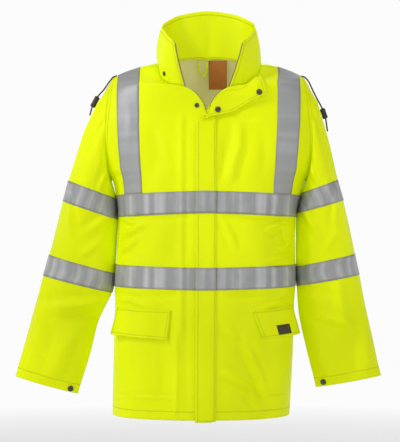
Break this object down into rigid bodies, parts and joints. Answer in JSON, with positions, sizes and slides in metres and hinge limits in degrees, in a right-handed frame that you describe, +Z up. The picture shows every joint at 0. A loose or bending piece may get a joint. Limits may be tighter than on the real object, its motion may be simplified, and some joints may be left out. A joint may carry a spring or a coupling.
{
  "type": "hi-vis work jacket",
  "caption": "Hollow hi-vis rain jacket, worn shape, with reflective bands and braces, open stand collar, storm flap, pocket flaps, long sleeves and a hood lying down behind.",
  "frame": {"origin": "middle of the neck, at the height where the shoulders carry the jacket", "axes": "+Z up towards the collar, +X towards the wearer's left sleeve, -Y out of the front"},
  "size_m": [0.8398, 0.3213, 0.9388],
  "materials": {
    "coated_cloth": "fluorescent yellow coated rain cloth, smooth, slight sheen",
    "reflective_tape": "silver retroreflective tape, sewn on",
    "zip": "moulded teeth on woven tape",
    "stud_metal": "dark burnished press stud",
    "dark_patch": "dark woven patch, bare",
    "label_cloth": "woven label, bare",
    "cord": "dark braided elastic cord",
    "toggle": "dark moulded plastic"
  },
  "bodies": {
    "root": {"front_right": "coated_cloth", "front_left": "coated_cloth", "back": "coated_cloth", "sleeve_right": "coated_cloth", "sleeve_left": "coated_cloth", "collar": "coated_cloth", "storm_flap": "coated_cloth", "chin_flap": "coated_cloth", "pocket_flap_right": "coated_cloth", "pocket_flap_left": "coated_cloth", "hood": "coated_cloth", "hanger_loop": "coated_cloth", "chest_band_front_right": "reflective_tape", "chest_band_front_left": "reflective_tape", "chest_band_back": "reflective_tape", "chest_band_flap": "reflective_tape", "waist_band_front_right": "reflective_tape", "waist_band_front_left": "reflective_tape", "waist_band_back": "reflective_tape", "waist_band_flap": "reflective_tape", "brace_right": "reflective_tape", "brace_left": "reflective_tape", "sleeve_band_1_right": "reflective_tape", "sleeve_band_2_right": "reflective_tape", "sleeve_band_1_left": "reflective_tape", "sleeve_band_2_left": "reflective_tape", "zip_right": "zip", "zip_left": "zip", "stud_chin_inner": "stud_metal", "stud_chin_outer": "stud_metal", "stud_neck": "stud_metal", "stud_collar": "stud_metal", "stud_cuff_right": "stud_metal", "stud_cuff_left": "stud_metal", "pocket_patch": "dark_patch", "neck_label": "label_cloth", "hood_cord_right": "cord", "hood_cord_end_right": "cord", "hood_toggle_right": "toggle", "hood_cord_left": "cord", "hood_cord_end_left": "cord", "hood_toggle_left": "toggle"}
  },
  "joints": []
}
